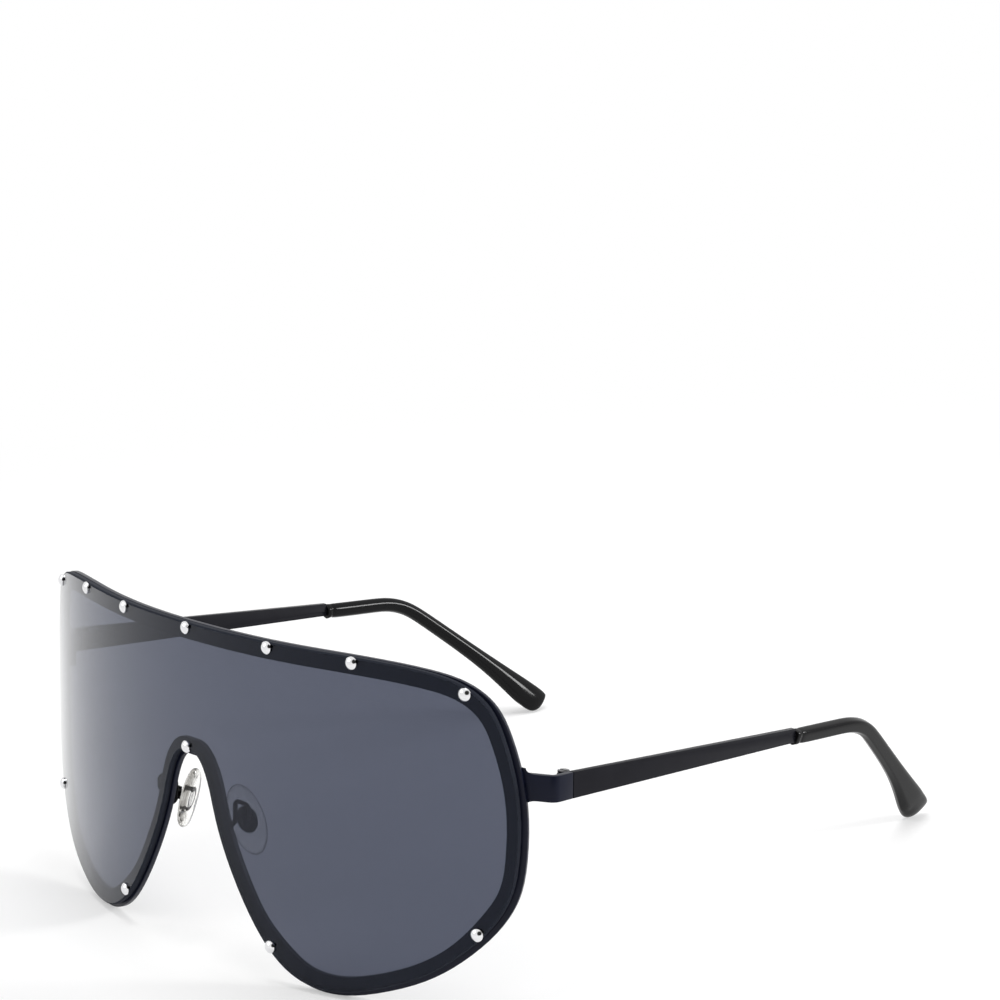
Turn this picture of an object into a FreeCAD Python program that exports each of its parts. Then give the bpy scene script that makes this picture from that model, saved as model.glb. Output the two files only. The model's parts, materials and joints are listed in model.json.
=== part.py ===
import FreeCAD, Part
import math
import os

Vector = FreeCAD.Vector
Rotation = FreeCAD.Rotation
Placement = FreeCAD.Placement

# Oversized shield sunglasses, in millimetres. They are drawn as worn: the front looks along -Y, the
# lens front passes through the origin and the rim's top edge is at height zero. The whole is then
# tilted to stand on a table, on the rim's two lobes and the two tip ends. Right is +X.

# Shield lens: one sheet bent to an upright cylinder
LENS_RADIUS = 147.0
LENS_THICK = 1.4
LENS_BEVEL = 0.3
LENS_INSET = 0.4
LENS_RAISE = 0.4

# Rim: a thin band behind the edge of the lens
FRONT_HALF_WIDTH = 75.2
FRONT_HEIGHT = 67.2
RIM_THICK = 1.0
BAND_WIDTH = 3.6

# Right half of the rim's outline, from the top centre round to the top of the nose notch:
# share of the half width, share of the height below the top edge, share of the band width
OUTLINE_SHARES = (
    (0.0, 0.0, 1.0),
    (0.33, 0.001, 1.0),
    (0.62, 0.003, 1.0),
    (0.76, 0.0145, 1.0),
    (0.868, 0.046, 1.05),
    (0.9235, 0.0955, 1.1),
    (0.962, 0.185, 1.1),
    (0.985, 0.28, 1.1),
    (0.999, 0.4, 1.1),
    (0.9985, 0.51, 1.1),
    (0.98, 0.64, 1.1),
    (0.937, 0.7325, 1.15),
    (0.876, 0.811, 1.05),
    (0.785, 0.892, 1.0),
    (0.652, 0.9615, 1.0),
    (0.49, 1.0, 1.05),
    (0.413, 0.988, 1.1),
    (0.335, 0.944, 1.15),
    (0.2577, 0.8595, 0.95),
    (0.18, 0.735, 0.9),
    (0.104, 0.558, 0.9),
    (0.0675, 0.447, 0.95),
    (0.028, 0.4015, 0.97),
    (0.0, 0.4005, 0.97),
)
# Rows between which the outline only falls, at the temple side, or only rises, up the nose flank
SIDE_ROWS = (5, 10)
FLANK_ROWS = (17, 21)

# Rivets through lens and rim
STUD_INSET = 1.5
STUD_HEAD_RADIUS = 1.25
STUD_HEAD_HEIGHT = 0.75
STUD_SHANK_RADIUS = 0.6
STUD_END = 0.25
STUD_SIDES = 12
# Rows of a rivet's head from its crown: share of the radius, share of the height
STUD_HEAD_SHARES = ((0.5, 1.0), (0.88, 0.6), (1.0, 0.0))
# Places along the half outline, as shares of its length
STUD_SHARES = (0.0, 0.107, 0.2, 0.313, 0.5555, 0.802, 1.0)

# Hinges, where the end pieces meet the temples, outside and behind the edge of the rim
JOINT_OUT = 4.65
JOINT_BACK = 7.6
JOINT_GAP = 0.2
HINGE_DROP = 21.4
HINGE_HEIGHT = 3.6
KNUCKLE_RADIUS = 1.25
KNUCKLE_MIDDLE = 1.3
KNUCKLE_GAP = 0.06
KNUCKLE_CLEAR = 0.15
LEAF_THICK = 0.9
LEAF_FRONT_LENGTH = 2.6
LEAF_REAR_LENGTH = 7.5
LEAF_REAR_HEIGHT = 3.4
HINGE_SCREW_RADIUS = 0.6
HINGE_SCREW_HEAD_RADIUS = 1.15
HINGE_SCREW_HEAD_HEIGHT = 0.6
SCREW_END = 0.2
SCREW_SLOT_WIDTH = 0.35
SCREW_SLOT_DEPTH = 0.35

# End pieces: strips bent from behind the rim round to the hinges
STRIP_THICK = 1.2
STRIP_HEIGHT = 5.0
TAB_HEIGHT = 7.2
FLARE_RADIUS = 1.0
BEND_RADIUS = 0.9

# Temples: flat strips that taper to the tips
TEMPLE_LENGTH = 63.6
TEMPLE_END_HEIGHT = 2.8
TEMPLE_TOE_IN = 3.3
TEMPLE_DROP = 1.7
CORE_HEIGHT = 1.2
CORE_THICK = 0.9
CORE_ROOT = 2.0
CORE_LENGTH_SHARE = 0.8

# Moulded temple tips
TIP_STRAIGHT = 21.7
TIP_DROPPED_LENGTH = 45.8
TIP_DROP = 36.0
TIP_TURN_IN = 17.1
TIP_BEND_RADIUS = 16.0
TIP_HEIGHT = 6.6
TIP_THICK = 2.8
# Sections along the tip: share of its length, share of its height, share of its thickness
TIP_SHARES = (
    (0.0, 0.47, 0.9),
    (0.03, 0.5, 0.98),
    (0.23, 0.49, 1.0),
    (0.275, 0.48, 1.0),
    (0.32, 0.48, 1.0),
    (0.36, 0.48, 1.0),
    (0.405, 0.49, 1.0),
    (0.6, 0.52, 1.0),
    (0.7, 0.58, 1.02),
    (0.79, 0.71, 1.07),
    (0.87, 0.88, 1.1),
    (0.925, 0.98, 1.08),
    (0.965, 0.99, 0.98),
    (0.987, 0.88, 0.8),
    (1.0, 0.6, 0.5),
)
# Share of the flare that lies below the tip's middle line
TIP_LOW_SHARE = 0.9
# Corners of a section: share of half the thickness inwards, share of half the height upwards. The
# outer side is flat over a bevel, and the inner side has a ridge.
TIP_CORNER_SHARES = (
    (-1.0, 0.7),
    (-1.0, -0.5),
    (-0.35, -1.0),
    (0.4, -1.0),
    (0.8, -0.6),
    (1.0, 0.2),
    (0.65, 0.8),
    (0.3, 1.0),
    (-0.7, 1.0),
)

# Nose pads: soft ovals, each on an insert with an eyelet
PAD_LENGTH = 14.6
PAD_WIDTH = 7.0
PAD_THICK = 2.4
PAD_SIDE = 1.6
PAD_BACK = 7.6
PAD_DROP = 38.9
PAD_LEAN = 24.0
PAD_PITCH = 5.2
PAD_SPLAY = 34.0
# Sections through the pad, from the face on the nose: share of its thickness, share of its size
PAD_SHARES = ((0.0, 0.76), (0.15, 0.93), (0.45, 1.0), (1.0, 0.86))
INSERT_LENGTH = 5.4
INSERT_WIDTH = 3.9
INSERT_THICK = 0.6
EYELET_RADIUS = 1.0
EYELET_THICK = 0.8
PIVOT_HEIGHT = 2.0
PAD_SIDES = 24

# Pad boxes and screws
BOX_CLEAR = 0.12
BOX_WALL = 0.5
BOX_WIDTH = 2.3
BOX_MOUTH = 0.9
PAD_SCREW_RADIUS = 0.45
PAD_SCREW_HEAD_RADIUS = 0.8
PAD_SCREW_HEAD_HEIGHT = 0.45

# Pad arms: wires from feet on the rim
ARM_WIDTH = 1.0
ARM_SIDES = 6
ARM_STAND = 1.3
ARM_RISE = 4.8
ARM_REACH = 1.0
ARM_BEND_RADIUS = 1.1
ARM_FOOT_RADIUS = 0.95
ARM_FOOT_THICK = 0.5
ARM_FOOT_DROP = 39.9

# Fits
FIXED_FIT = 0.02
SEAT_GAP = 0.03
PIN_FIT = 0.04
OVERRUN = 1.0

# Turn from +X to the front of the lens cylinder
FRONT_TURN = 1.5 * math.pi
BISECTIONS = 40
STAND_STEPS = 6


# Small helpers for drawing

def line(start, end):
    """Straight edge between two points."""
    return Part.LineSegment(start, end).toShape()


def rounded_edges(points, radii, closed=False):
    """Straight runs through points, joined by tangent arcs of the given corner radii."""
    corners = []
    for index, (corner, radius) in enumerate(zip(points, radii)):
        if radius == 0:
            corners.append((corner, None, corner))
            continue
        back = (points[index - 1] - corner).normalize()
        ahead = (points[(index + 1) % len(points)] - corner).normalize()
        half = back.getAngle(ahead) / 2
        reach = radius / math.tan(half)
        middle = corner + (back + ahead).normalize() * (radius / math.sin(half) - radius)
        corners.append((corner + back * reach, middle, corner + ahead * reach))
    edges = []
    for index, (start, middle, end) in enumerate(corners):
        if middle is not None:
            edges.append(Part.Arc(start, middle, end).toShape())
        if closed or index + 1 < len(corners):
            edges.append(line(end, corners[(index + 1) % len(corners)][0]))
    return edges


def rounded_face(points, radii):
    """Flat face with rounded corners."""
    return Part.Face(Part.Wire(rounded_edges(points, radii, closed=True)))


def block(low, high):
    """Box between two opposite corners."""
    size = high - low
    return Part.makeBox(size.x, size.y, size.z, low)


def pin(radius, low, high, axis=Vector(0, 0, 1)):
    """Cylinder along an axis through the local origin."""
    return Part.makeCylinder(radius, high - low, axis * low, axis)


def ring(width, height, sides, place):
    """Closed many-sided wire, round or oval, its width along local X and its height along local Y."""
    points = []
    for step in range(sides + 1):
        turn = 2 * math.pi * step / sides
        points.append(place.multVec(Vector(math.cos(turn) * width / 2, math.sin(turn) * height / 2, 0)))
    return Part.makePolygon(points)


def slotted_screw(head_radius, head_height, radius, seat, end):
    """Screw along Z, from the seat of its head down to its end, with a driver slot."""
    top = seat + head_height
    slot = block(Vector(-head_radius - OVERRUN, -SCREW_SLOT_WIDTH / 2, top - SCREW_SLOT_DEPTH),
                 Vector(head_radius + OVERRUN, SCREW_SLOT_WIDTH / 2, top + OVERRUN))
    return pin(head_radius, seat, top).fuse(pin(radius, end, seat)).cut(slot)


def placed(shape, place):
    """Copy of a local shape, moved to its place."""
    copy = shape.copy()
    copy.Placement = place.multiply(copy.Placement)
    return copy


def level(height):
    """Local frame at a height along Z."""
    return Placement(Vector(0, 0, height), Rotation())


def mirrored(shape):
    """The left one of a pair, from the right one."""
    return shape.mirror(Vector(), Vector(1, 0, 0))


# The outline, drawn on the unrolled rim, and on the unrolled lens: X runs round the front, Y is up

RIM_RADIUS = LENS_RADIUS - LENS_THICK - SEAT_GAP
RIM_BACK = LENS_RADIUS - RIM_RADIUS + RIM_THICK


def smooth_half(points):
    """Right half of a symmetric outline, level where it crosses the middle."""
    curve = Part.BSplineCurve()
    curve.interpolate(Points=points, InitialTangent=Vector(1, 0, 0), FinalTangent=Vector(-1, 0, 0))
    return curve


def inward(curve, parameter):
    """Direction from an outline into the lens."""
    along = curve.tangent(parameter)[0]
    return Vector(along.y, -along.x, 0)


def outline_points():
    """Points that the rim's outline passes through."""
    points = []
    for side, drop, _ in OUTLINE_SHARES:
        round_front = LENS_RADIUS * math.asin(side * FRONT_HALF_WIDTH / LENS_RADIUS)
        points.append(Vector(round_front, -drop * FRONT_HEIGHT, 0))
    return points


RIM_POINTS = outline_points()
RIM_HALF = smooth_half(RIM_POINTS)


def inset_half(depths, rise=0.0):
    """Outline inside the rim's outline by a depth at each of its points, and raised as a whole."""
    points = []
    for point, depth in zip(RIM_POINTS, depths):
        inside = point + inward(RIM_HALF, RIM_HALF.parameter(point)) * depth
        points.append(inside + Vector(0, rise, 0))
    return smooth_half(points)


def spot_along(share, depth):
    """Place inside the rim's outline, at a share of its length."""
    parameter = RIM_HALF.parameterAtDistance(share * RIM_HALF.length(), RIM_HALF.FirstParameter)
    return RIM_HALF.value(parameter) + inward(RIM_HALF, parameter) * depth


def spot_at_drop(drop, rows, depth):
    """Place inside the rim's outline between two of its rows, at a drop below the top edge."""
    low, high = [RIM_HALF.parameter(RIM_POINTS[row]) for row in rows]
    falls = RIM_HALF.value(high).y < RIM_HALF.value(low).y
    for _ in range(BISECTIONS):
        middle = (low + high) / 2
        if (RIM_HALF.value(middle).y > -drop) == falls:
            low = middle
        else:
            high = middle
    return RIM_HALF.value(low) + inward(RIM_HALF, low) * depth


def on_sheet(spot, depth, front_radius):
    """Frame at an unrolled place on a bent sheet, some depth behind its front: Z points out of it."""
    turn = spot.x / front_radius
    out = Vector(math.sin(turn), -math.cos(turn), 0)
    point = Vector(0, LENS_RADIUS, spot.y) + out * (front_radius - depth)
    return Placement(point, Rotation(Vector(math.cos(turn), math.sin(turn), 0), Vector(0, 0, 1), out))


def on_lens(spot):
    """Frame on the front of the lens at an unrolled place."""
    return on_sheet(spot, 0.0, LENS_RADIUS)


def behind_rim(spot, gap):
    """Frame a gap behind the rim at an unrolled place."""
    return on_sheet(spot, RIM_THICK + gap, RIM_RADIUS)


def wrapped_edges(curve, depth, front_radius):
    """Both halves of an outline, bent round with a sheet, some depth behind the sheet's front."""
    sheet = Part.Cylinder()
    sheet.Radius = front_radius - depth
    sheet.Center = Vector(0, LENS_RADIUS, 0)
    halves = []
    for sign in (1, -1):
        poles = []
        for pole in curve.getPoles():
            poles.append(FreeCAD.Base.Vector2d(FRONT_TURN + sign * pole.x / front_radius, pole.y))
        flat = Part.Geom2d.BSplineCurve2d()
        knots = curve.getKnots()
        flat.buildFromPolesMultsKnots(poles, curve.getMultiplicities(), knots, False, curve.Degree)
        halves.append(flat.toShape(sheet))
    return sheet, halves


def wrapped_plate(layers, front_radius):
    """Bent sheet through outlines at rising depths behind its front."""
    rings = [wrapped_edges(curve, depth, front_radius) for curve, depth in layers]
    faces = [Part.Face(sheet, Part.Wire(halves)) for sheet, halves in (rings[0], rings[-1])]
    for (_, near), (_, far) in zip(rings, rings[1:]):
        faces += [Part.makeRuledSurface(front, back) for front, back in zip(near, far)]
    shell = Part.makeShell(faces)
    shell.sewShape()
    plate = Part.makeSolid(shell)
    if plate.Volume < 0:
        plate.reverse()
    return plate


# Lens, rim and rivets

def stud_spots():
    """Unrolled places of the rivets."""
    spots = []
    for share in STUD_SHARES:
        spot = spot_along(share, STUD_INSET) + Vector(0, LENS_RAISE, 0)
        spots.append(spot)
        if 0 < share < 1:
            spots.append(Vector(-spot.x, spot.y, 0))
    return spots


def at_studs(shape):
    """Copies of a local shape at every rivet."""
    return [placed(shape, on_lens(spot)) for spot in stud_spots()]


def shield_lens():
    """Bent sheet with a bevelled front edge and a hole for each rivet."""
    edge = inset_half([LENS_INSET] * len(RIM_POINTS), LENS_RAISE)
    face = inset_half([LENS_INSET + LENS_BEVEL] * len(RIM_POINTS), LENS_RAISE)
    hole = pin(STUD_SHANK_RADIUS + FIXED_FIT, -LENS_THICK - OVERRUN, OVERRUN)
    plate = wrapped_plate([(face, 0.0), (edge, LENS_BEVEL), (edge, LENS_THICK)], LENS_RADIUS)
    return plate.cut(at_studs(hole))


def rim_frame():
    """Band behind the edge of the lens, wider at the lower rivets."""
    plate = wrapped_plate([(RIM_HALF, 0.0), (RIM_HALF, RIM_THICK)], RIM_RADIUS)
    inner = inset_half([BAND_WIDTH * share for _, _, share in OUTLINE_SHARES])
    window = wrapped_plate([(inner, -OVERRUN), (inner, RIM_THICK + OVERRUN)], RIM_RADIUS)
    hole = pin(STUD_SHANK_RADIUS + FIXED_FIT, -RIM_BACK - OVERRUN, OVERRUN)
    return plate.cut([window] + at_studs(hole))


def lens_studs():
    """Round-headed rivets through lens and rim."""
    head = []
    for across, rise in STUD_HEAD_SHARES:
        wide = 2 * STUD_HEAD_RADIUS * across
        head.append(ring(wide, wide, STUD_SIDES, level(SEAT_GAP + STUD_HEAD_HEIGHT * rise)))
    wide = 2 * STUD_SHANK_RADIUS
    shank = [ring(wide, wide, STUD_SIDES, level(end)) for end in (SEAT_GAP, -RIM_BACK - STUD_END)]
    stud = Part.makeLoft(head, True, True).fuse(Part.makeLoft(shank, True, True))
    return Part.makeCompound(at_studs(stud))


# Hinge frame: its origin is on the hinge axis, Y runs along the temple and X points outwards

STRIP_INNER = KNUCKLE_RADIUS + KNUCKLE_CLEAR
STRIP_OUTER = STRIP_INNER + STRIP_THICK
STRIP_MIDDLE = STRIP_INNER + STRIP_THICK / 2


def hinge_place():
    """Frame of the right hinge."""
    turn = Rotation(Vector(0, 0, 1), TEMPLE_TOE_IN)
    edge = behind_rim(spot_at_drop(HINGE_DROP, SIDE_ROWS, 0.0), 0.0).Base
    corner = edge + Vector(JOINT_OUT, JOINT_BACK, 0)
    return Placement(corner - turn.multVec(Vector(STRIP_OUTER, 0, 0)), turn)


def end_piece():
    """Strip from a tab behind the rim, round a bend to the joint."""
    to_hinge = hinge_place().inverse()
    edge = spot_at_drop(HINGE_DROP, SIDE_ROWS, 0.0)
    tab = behind_rim(edge - Vector(BAND_WIDTH / 2, 0, 0), SEAT_GAP)
    along = to_hinge.Rotation.multVec(tab.Rotation.multVec(Vector(1, 0, 0)))
    deeper = to_hinge.Rotation.multVec(tab.Rotation.multVec(Vector(0, 0, -STRIP_THICK)))
    front = to_hinge.multVec(tab.Base)
    front.z = 0
    back = front + deeper
    start = along * (-BAND_WIDTH / 2)
    corner_out = front + along * ((STRIP_OUTER - front.x) / along.x)
    corner_in = back + along * ((STRIP_INNER - back.x) / along.x)
    joint = -JOINT_GAP / 2
    plan = [front + start, corner_out, Vector(STRIP_OUTER, joint, 0),
            Vector(STRIP_INNER, joint, 0), corner_in, back + start]
    bar = rounded_face(plan, (0, BEND_RADIUS + STRIP_THICK, 0, 0, BEND_RADIUS, 0))
    bar.translate(Vector(0, 0, -TAB_HEIGHT / 2))
    bar = bar.extrude(Vector(0, 0, TAB_HEIGHT))
    rim_edge = to_hinge.multVec(behind_rim(edge, 0.0).Base).y
    far = front.y - BAND_WIDTH - OVERRUN
    tall = TAB_HEIGHT / 2 + OVERRUN
    low = STRIP_HEIGHT / 2
    side = [(OVERRUN, -low), (OVERRUN, low), (rim_edge, low), (rim_edge, tall),
            (far, tall), (far, -tall), (rim_edge, -tall), (rim_edge, -low)]
    radii = (0, 0, FLARE_RADIUS, 0, 0, 0, 0, FLARE_RADIUS)
    keep = rounded_face([Vector(front.x - BAND_WIDTH - OVERRUN, y, z) for y, z in side], radii)
    keep = keep.extrude(Vector(STRIP_OUTER - front.x + BAND_WIDTH + 2 * OVERRUN, 0, 0))
    return placed(bar.common(keep), hinge_place())


def knuckle_spans():
    """Heights of the two front knuckles."""
    low = KNUCKLE_MIDDLE / 2 + KNUCKLE_GAP
    return ((-HINGE_HEIGHT / 2, -low), (low, HINGE_HEIGHT / 2))


def hinge_front():
    """Two knuckles on a short leaf inside the end piece."""
    leaf_face = STRIP_INNER - LEAF_THICK
    front = -LEAF_FRONT_LENGTH
    leaf = block(Vector(leaf_face, front, -HINGE_HEIGHT / 2),
                 Vector(STRIP_INNER, -STRIP_INNER, HINGE_HEIGHT / 2))
    for low, high in knuckle_spans():
        lug = block(Vector(leaf_face, front, low), Vector(STRIP_INNER, 0, high))
        leaf = leaf.fuse([lug, pin(KNUCKLE_RADIUS, low, high)])
    bore = pin(HINGE_SCREW_RADIUS + FIXED_FIT, -HINGE_HEIGHT, HINGE_HEIGHT)
    return placed(leaf.cut(bore).removeSplitter(), hinge_place())


def hinge_rear():
    """One knuckle between the front two, on a leaf inside the temple."""
    leaf_face = STRIP_INNER - LEAF_THICK
    half = KNUCKLE_MIDDLE / 2
    leaf = block(Vector(leaf_face, STRIP_INNER, -LEAF_REAR_HEIGHT / 2),
                 Vector(STRIP_INNER, LEAF_REAR_LENGTH, LEAF_REAR_HEIGHT / 2))
    lug = block(Vector(leaf_face, JOINT_GAP / 2, -half), Vector(STRIP_INNER, LEAF_REAR_LENGTH, half))
    leaf = leaf.fuse([lug, pin(KNUCKLE_RADIUS, -half, half)])
    bore = pin(HINGE_SCREW_RADIUS + PIN_FIT, -HINGE_HEIGHT, HINGE_HEIGHT)
    return placed(leaf.cut(bore).removeSplitter(), hinge_place())


def hinge_screw():
    """Slotted screw down through the three knuckles."""
    seat = HINGE_HEIGHT / 2
    end = -seat - SCREW_END
    screw = slotted_screw(HINGE_SCREW_HEAD_RADIUS, HINGE_SCREW_HEAD_HEIGHT, HINGE_SCREW_RADIUS, seat, end)
    return placed(screw, hinge_place())


# Temples and tips

def direction(turn_in, drop):
    """Direction in the hinge frame that turns inwards and drops, in degrees."""
    inwards = math.radians(turn_in)
    down = math.radians(drop)
    level = math.cos(down)
    return Vector(-math.sin(inwards) * level, math.cos(inwards) * level, -math.sin(down))


TEMPLE_WAY = direction(0.0, TEMPLE_DROP)
TIP_WAY = direction(TIP_TURN_IN, TIP_DROP)
ACROSS = TEMPLE_WAY.cross(TIP_WAY).normalize()
TIP_MOUTH = Vector(STRIP_MIDDLE, 0, 0) + TEMPLE_WAY * TEMPLE_LENGTH


def tip_path(start):
    """Edges of the tip's middle line, from a start on the temple's line to the end of the tip."""
    bend = TIP_MOUTH + TEMPLE_WAY * TIP_STRAIGHT
    return rounded_edges([start, bend, bend + TIP_WAY * TIP_DROPPED_LENGTH], (0, TIP_BEND_RADIUS, 0))


def along_path(edges, distance):
    """Point and direction at a distance along joined edges."""
    for edge in edges[:-1]:
        if distance < edge.Length:
            break
        distance -= edge.Length
    else:
        edge = edges[-1]
    parameter = edge.getParameterByLength(min(distance, edge.Length))
    return edge.valueAt(parameter), edge.tangentAt(parameter)


def core_bar(fit):
    """Flat bar from inside the temple's end through the bend of the tip, larger by a fit."""
    half = CORE_HEIGHT / 2 + fit
    start = TIP_MOUTH - TEMPLE_WAY * CORE_ROOT
    bend = TIP_MOUTH + TEMPLE_WAY * TIP_STRAIGHT
    end = bend + TIP_WAY * (TIP_DROPPED_LENGTH * CORE_LENGTH_SHARE + fit)
    rise = ACROSS.cross(TEMPLE_WAY) * half
    fall = ACROSS.cross(TIP_WAY) * half
    corner = (rise + fall) * (half ** 2 / (half ** 2 + rise.dot(fall)))
    points = [start + rise, bend + corner, end + fall, end - fall, bend - corner, start - rise]
    radii = (0, TIP_BEND_RADIUS - half, 0, 0, TIP_BEND_RADIUS + half, 0)
    thick = ACROSS * (CORE_THICK + 2 * fit)
    bar = rounded_face(points, radii)
    bar.translate(thick * -0.5)
    return bar.extrude(thick)


def temple():
    """Tapering strip, drawn out at its end into the core of the tip."""
    start = JOINT_GAP / 2
    wide = STRIP_HEIGHT / 2
    slim = TEMPLE_END_HEIGHT / 2
    side = [Vector(STRIP_INNER, start, -wide), Vector(STRIP_INNER, start, wide),
            Vector(STRIP_INNER, TIP_MOUTH.y, TIP_MOUTH.z + slim),
            Vector(STRIP_INNER, TIP_MOUTH.y, TIP_MOUTH.z - slim)]
    strip = Part.Face(Part.makePolygon(side + side[:1])).extrude(Vector(STRIP_THICK, 0, 0))
    return placed(strip.fuse(core_bar(0.0)), hinge_place())


def tip_section(point, way, height, thick):
    """Closed section across the tip: flat outside over a bevel, ridged inside."""
    up = way.cross(ACROSS)
    points = []
    for inwards, rise in TIP_CORNER_SHARES:
        points.append(point + ACROSS * (inwards * thick / 2) + up * (rise * height / 2))
    return Part.makePolygon(points + points[:1])


def temple_tip():
    """Moulded tip along the bent path, flared to a rounded paddle and bored for the core."""
    path = tip_path(TIP_MOUTH)
    length = sum(edge.Length for edge in path)
    slimmest = min(height for _, height, _ in TIP_SHARES)
    sections = []
    for share, height, thick in TIP_SHARES:
        point, way = along_path(path, share * length)
        lowered = (height - slimmest) * TIP_HEIGHT * (0.5 - TIP_LOW_SHARE)
        middle = point + way.cross(ACROSS) * lowered
        sections.append(tip_section(middle, way, height * TIP_HEIGHT, thick * TIP_THICK))
    tip = Part.makeLoft(sections, True, True)
    behind = Vector(OVERRUN, OVERRUN, OVERRUN) * TIP_HEIGHT
    mouth = block(TIP_MOUTH - behind, TIP_MOUTH + Vector(behind.x, 0, behind.z))
    return placed(tip.cut([mouth, core_bar(FIXED_FIT)]), hinge_place())


# Pad frame: its origin is at the middle of the pad's back, X runs across the pad, Y up along it
# and Z away from the nose

def pad_place():
    """Frame of the right nose pad."""
    lean = math.radians(PAD_LEAN)
    pitch = math.radians(PAD_PITCH)
    splay = math.radians(PAD_SPLAY)
    up = Vector(-math.sin(lean) * math.cos(pitch), -math.sin(pitch), math.cos(lean) * math.cos(pitch))
    across = Vector(math.sin(splay), math.cos(splay), 0)
    across = (across - up * across.dot(up)).normalize()
    out = across.cross(up)
    flank = on_lens(spot_at_drop(PAD_DROP, FLANK_ROWS, 0.0)).Base.x
    middle = Vector(flank + PAD_SIDE, PAD_BACK, -PAD_DROP)
    return Placement(middle + out * (PAD_THICK / 2), Rotation(across, up, out))


def insert_plate(fit):
    """Oval plate let into the back of the pad, larger by a fit."""
    outline = ring(INSERT_WIDTH + 2 * fit, INSERT_LENGTH + 2 * fit, PAD_SIDES, level(-INSERT_THICK - fit))
    return Part.Face(outline).extrude(Vector(0, 0, INSERT_THICK + fit))


def nose_pad():
    """Soft oval pad with rounded edges and a recess for its insert."""
    sections = []
    for share, size in PAD_SHARES:
        place = level(PAD_THICK * (share - 1))
        sections.append(ring(PAD_WIDTH * size, PAD_LENGTH * size, PAD_SIDES, place))
    pad = Part.makeLoft(sections, True, True)
    return placed(pad.cut(insert_plate(FIXED_FIT)), pad_place())


def pad_insert():
    """Plate with an eyelet that hangs on the pad screw."""
    across = Vector(1, 0, 0)
    half = EYELET_THICK / 2
    stem = block(Vector(-half, -EYELET_RADIUS, -INSERT_THICK), Vector(half, EYELET_RADIUS, PIVOT_HEIGHT))
    eye = placed(pin(EYELET_RADIUS, -half, half, across), level(PIVOT_HEIGHT))
    hole = placed(pin(PAD_SCREW_RADIUS + PIN_FIT, -OVERRUN, OVERRUN, across), level(PIVOT_HEIGHT))
    insert = insert_plate(0.0).fuse([stem, eye]).cut(hole)
    return placed(insert.removeSplitter(), pad_place())


CHEEK_INNER = EYELET_THICK / 2 + BOX_CLEAR
CHEEK_OUTER = CHEEK_INNER + BOX_WALL
BOX_FLOOR = PIVOT_HEIGHT + EYELET_RADIUS + BOX_CLEAR
BOX_BACK = BOX_FLOOR + BOX_WALL


def pad_box():
    """Forked box round the eyelet, with a wall at its back."""
    half = BOX_WIDTH / 2
    shell = block(Vector(-CHEEK_OUTER, -half, BOX_MOUTH), Vector(CHEEK_OUTER, half, BOX_BACK))
    room = block(Vector(-CHEEK_INNER, -half - OVERRUN, BOX_MOUTH - OVERRUN),
                 Vector(CHEEK_INNER, half + OVERRUN, BOX_FLOOR))
    hole = pin(PAD_SCREW_RADIUS + FIXED_FIT, -CHEEK_OUTER - OVERRUN, CHEEK_OUTER + OVERRUN, Vector(1, 0, 0))
    return placed(shell.cut([room, placed(hole, level(PIVOT_HEIGHT))]), pad_place())


def pad_screw():
    """Slotted screw across the box, its head towards the front."""
    end = -CHEEK_OUTER - SCREW_END
    screw = slotted_screw(PAD_SCREW_HEAD_RADIUS, PAD_SCREW_HEAD_HEIGHT, PAD_SCREW_RADIUS, CHEEK_OUTER, end)
    place = Placement(Vector(0, 0, PIVOT_HEIGHT), Rotation(Vector(0, 0, 1), Vector(-1, 0, 0)))
    return placed(screw, pad_place().multiply(place))


def pad_arm():
    """Wire from a foot on the rim, back, up and over to the back of the pad box."""
    spot = spot_at_drop(ARM_FOOT_DROP, FLANK_ROWS, BAND_WIDTH / 2)
    seat = behind_rim(spot, SEAT_GAP)
    foot = placed(pin(ARM_FOOT_RADIUS, -ARM_FOOT_THICK, 0), seat)
    start = seat.Base
    stand = seat.multVec(Vector(0, 0, -ARM_FOOT_THICK - ARM_STAND))
    end = pad_place().multVec(Vector(0, 0, BOX_BACK))
    reach = pad_place().multVec(Vector(0, 0, BOX_BACK + ARM_REACH))
    top = stand.z + ARM_RISE
    path = [start, stand, Vector(stand.x, stand.y, top), Vector(reach.x, reach.y, top), reach, end]
    radii = (0, ARM_BEND_RADIUS, ARM_BEND_RADIUS, ARM_BEND_RADIUS, ARM_BEND_RADIUS / 2, 0)
    across = Placement(start, Rotation(Vector(0, 0, 1), stand - start))
    profile = Part.Face(ring(ARM_WIDTH, ARM_WIDTH, ARM_SIDES, across))
    return foot.fuse(Part.Wire(rounded_edges(path, radii)).makePipe(profile))


# Standing on the table

def reach(shape, way):
    """How far a shape reaches along a direction."""
    far = LENS_RADIUS + FRONT_HEIGHT
    wall = Part.makePlane(2 * far, 2 * far, Vector(-far, -far, 0))
    wall.Placement = Placement(way * (2 * far), Rotation(Vector(0, 0, 1), way)).multiply(wall.Placement)
    return 2 * far - shape.distToShape(wall)[0]


def standing(rim, tip, lens_front):
    """Place that tilts the glasses back onto rim and tips, and centres them on the table."""
    axis = Vector(1, 0, 0)
    down = Vector(0, 0, -1)
    tilt = 0.0
    lever = hinge_place().Base.y + TEMPLE_LENGTH + TIP_STRAIGHT + TIP_DROPPED_LENGTH
    for _ in range(STAND_STEPS):
        turn = Placement(Vector(), Rotation(axis, -tilt))
        above = reach(placed(rim, turn), down) - reach(placed(tip, turn), down)
        tilt += math.degrees(math.atan2(above, lever))
    turn = Placement(Vector(), Rotation(axis, -tilt))
    floor = reach(placed(rim, turn), down)
    front = reach(placed(lens_front, turn), Vector(0, -1, 0))
    back = reach(placed(tip, turn), Vector(0, 1, 0))
    return Placement(Vector(0, (front - back) / 2, floor), Rotation(axis, -tilt))


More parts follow.
